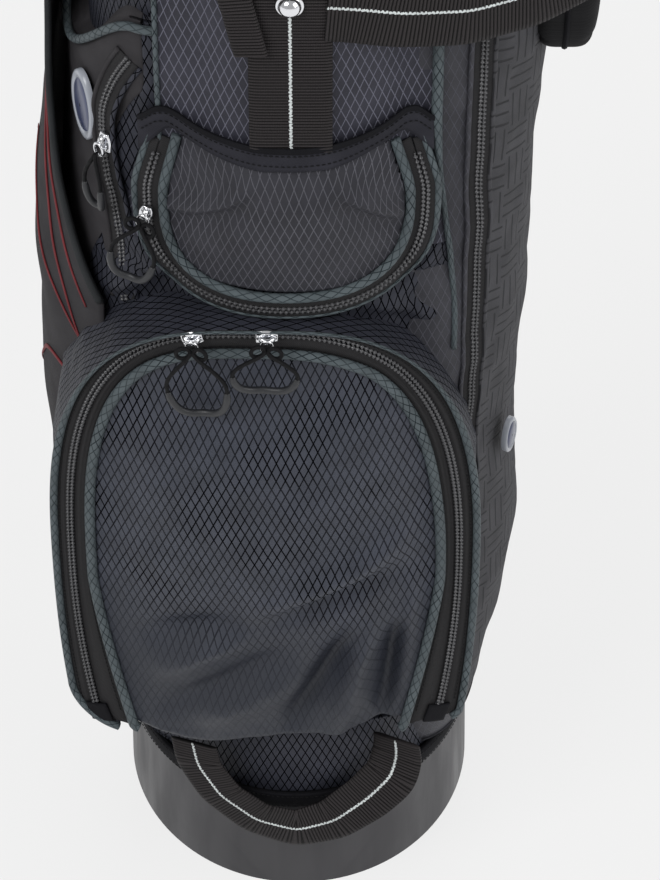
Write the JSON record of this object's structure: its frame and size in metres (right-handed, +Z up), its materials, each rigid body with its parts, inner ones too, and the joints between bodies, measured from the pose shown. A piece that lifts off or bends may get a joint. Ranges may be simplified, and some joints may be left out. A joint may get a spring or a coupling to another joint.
{
  "type": "golf stand bag",
  "caption": "Upright golf bag with an oval moulded base, sewn pockets closed by curved zips, a shoulder strap and a pair of folding legs driven by a lever under the base.",
  "frame": {"origin": "middle of the base underside, on the floor", "axes": "+Z up, -Y towards the ball pocket, +Y towards the folding legs, +X to the right of someone facing the ball pocket"},
  "size_m": [0.3335, 0.3131, 0.888],
  "materials": {
    "base_plastic": "satin",
    "floor_foam": "matte",
    "ripstop": "woven ripstop",
    "plain_fabric": "woven",
    "lining": "woven",
    "piping": "woven",
    "binding": "ribbed",
    "zip": "woven tape and coil",
    "webbing": "ribbed webbing",
    "stay_rod": "fibreglass",
    "stud_chrome": "polished",
    "badge": "gloss",
    "pull_rubber": "matte",
    "pad_foam": "mesh over foam",
    "leg_tube": "anodised",
    "foot_rubber": "matte",
    "steel": "brushed"
  },
  "bodies": {
    "bag": {"base_cup": "base_plastic", "inner_floor": "floor_foam", "base_rim_binding": "binding", "body_shell": "ripstop", "divider_panels": "lining", "body_stays": "stay_rod", "spine_plate": "base_plastic", "top_collar": "base_plastic", "divider_cross": "base_plastic", "ball_pocket_shell": "ripstop", "ball_pocket_panel": "ripstop", "ball_pocket_piping": "piping", "ball_pocket_zip": "zip", "ball_zip_end_patches": "zip", "valuables_pocket": "ripstop", "valuables_piping": "piping", "valuables_zip": "zip", "valuables_binding": "binding", "apparel_pocket": "plain_fabric", "apparel_zip": "zip", "slash_panel": "plain_fabric", "side_pocket": "plain_fabric", "side_zip": "zip", "blank_badges": "badge", "front_webbing": "webbing", "webbing_stud": "stud_chrome", "strap_webbing_front": "webbing", "leg_bracket": "base_plastic", "bracket_screws": "steel", "hinge_pins": "steel", "rod_guides": "base_plastic", "hip_pad": "pad_foam"},
    "leg_left": {"leg_head_left": "base_plastic", "leg_tube_left": "leg_tube", "leg_foot_left": "foot_rubber", "leg_clip_left": "base_plastic"},
    "link_left": {"stand_link_left": "steel"},
    "leg_right": {"leg_head_right": "base_plastic", "leg_tube_right": "leg_tube", "leg_foot_right": "foot_rubber", "leg_clip_right": "base_plastic"},
    "link_right": {"stand_link_right": "steel"},
    "actuator": {"actuator_rod": "steel", "crosshead": "base_plastic"},
    "base_lever": {"base_lever": "base_plastic"},
    "lower_handle": {"lower_handle": "webbing"},
    "shoulder_strap": {"strap_webbing_side": "webbing", "shoulder_pad": "pad_foam", "strap_webbing_rear": "webbing"},
    "ball_slider_left": {"ball_slider_left": "stud_chrome"},
    "ball_pull_left": {"ball_pull_left": "pull_rubber"},
    "ball_slider_right": {"ball_slider_right": "stud_chrome"},
    "ball_pull_right": {"ball_pull_right": "pull_rubber"},
    "valuables_slider": {"valuables_slider": "stud_chrome"},
    "valuables_pull": {"valuables_pull": "pull_rubber"},
    "apparel_slider": {"apparel_slider": "stud_chrome"},
    "apparel_pull": {"apparel_pull": "pull_rubber"},
    "side_slider": {"side_slider": "stud_chrome"},
    "side_pull": {"side_pull": "pull_rubber"}
  },
  "joints": [
    {"name": "leg_left_swing", "type": "hinge", "parent": "bag", "child": "leg_left", "pos_m": [-0.062, 0.122, 0.788], "axis": [0.6691, 0.7431, 0], "range_deg": [0, 28]},
    {"name": "leg_right_swing", "type": "hinge", "parent": "bag", "child": "leg_right", "pos_m": [0.062, 0.122, 0.788], "axis": [0.6691, -0.7431, 0], "range_deg": [0, 28]},
    {"name": "rod_slide", "type": "slide", "parent": "bag", "child": "actuator", "axis": [0, 0, 1], "range_m": [0, 0.0302]},
    {"name": "link_left_swing", "type": "hinge", "parent": "actuator", "child": "link_left", "pos_m": [-0.05308, 0.11397, 0.58872], "axis": [-0.6691, -0.7431, 0], "range_deg": [0, 29.23]},
    {"name": "link_right_swing", "type": "hinge", "parent": "actuator", "child": "link_right", "pos_m": [0.05308, 0.11397, 0.58872], "axis": [-0.6691, 0.7431, 0], "range_deg": [0, 29.23]},
    {"name": "base_lever_tilt", "type": "hinge", "parent": "bag", "child": "base_lever", "pos_m": [0, 0.056, 0.008], "axis": [1, 0, 0], "range_deg": [0, 21.8]},
    {"name": "lower_handle_swing", "type": "hinge", "parent": "bag", "child": "lower_handle", "pos_m": [0.004, -0.1222, 0.138], "axis": [-1, 0, 0], "range_deg": [0, 55]},
    {"name": "shoulder_strap_swing", "type": "hinge", "parent": "bag", "child": "shoulder_strap", "pos_m": [0.1126, -0.105, 0.7535], "axis": [0.0123, -0.9226, -0.3856], "range_deg": [0, 6]},
    {"name": "ball_slider_left_travel", "type": "hinge", "parent": "bag", "child": "ball_slider_left", "pos_m": [-0.01575, -0.09927, 0.41171], "axis": [0.0121, 0.9305, 0.366], "range_deg": [-15, 1]},
    {"name": "ball_slider_right_travel", "type": "hinge", "parent": "bag", "child": "ball_slider_right", "pos_m": [-0.017, -0.09624, 0.4187], "axis": [0, 0.9117, 0.4109], "range_deg": [-1, 15]},
    {"name": "valuables_slider_travel", "type": "hinge", "parent": "bag", "child": "valuables_slider", "pos_m": [-0.01557, -0.13557, 0.62396], "axis": [-0.536, -0.8405, 0.0785], "range_deg": [-8, 6]},
    {"name": "apparel_slider_travel", "type": "slide", "parent": "bag", "child": "apparel_slider", "axis": [0, 0, 1], "range_m": [-0.06, 0.04]},
    {"name": "side_slider_travel", "type": "slide", "parent": "bag", "child": "side_slider", "axis": [0, 0, 1], "range_m": [-0.23, 0.004]},
    {"name": "ball_pull_left_swing", "type": "hinge", "parent": "ball_slider_left", "child": "ball_pull_left", "pos_m": [-0.05633, -0.14458, 0.50937], "axis": [-0.9891, 0.1476, 0], "range_deg": [0, 70]},
    {"name": "ball_pull_right_swing", "type": "hinge", "parent": "ball_slider_right", "child": "ball_pull_right", "pos_m": [-0.01406, -0.14748, 0.51577], "axis": [-0.9999, -0.011, 0], "range_deg": [0, 70]},
    {"name": "valuables_pull_swing", "type": "hinge", "parent": "valuables_slider", "child": "valuables_pull", "pos_m": [-0.07867, -0.10754, 0.58748], "axis": [-0.7578, 0.6525, 0], "range_deg": [0, 70]},
    {"name": "apparel_pull_swing", "type": "hinge", "parent": "apparel_slider", "child": "apparel_pull", "pos_m": [-0.10743, -0.08944, 0.621], "axis": [-0.7073, 0.707, 0], "range_deg": [0, 70]},
    {"name": "side_pull_swing", "type": "hinge", "parent": "side_slider", "child": "side_pull", "pos_m": [0.1107, -0.0931, 0.768], "axis": [-0.7798, -0.626, 0], "range_deg": [0, 3]}
  ],
  "couplings": [
    {"joint": "leg_right_swing", "follows": "leg_left_swing", "ratio": 1},
    {"joint": "rod_slide", "follows": "leg_left_swing", "m_per_rad": 0.061802},
    {"joint": "link_left_swing", "follows": "leg_left_swing", "ratio": 1.0438},
    {"joint": "link_right_swing", "follows": "leg_left_swing", "ratio": 1.0438},
    {"joint": "base_lever_tilt", "follows": "leg_left_swing", "ratio": 0.77856}
  ]
}
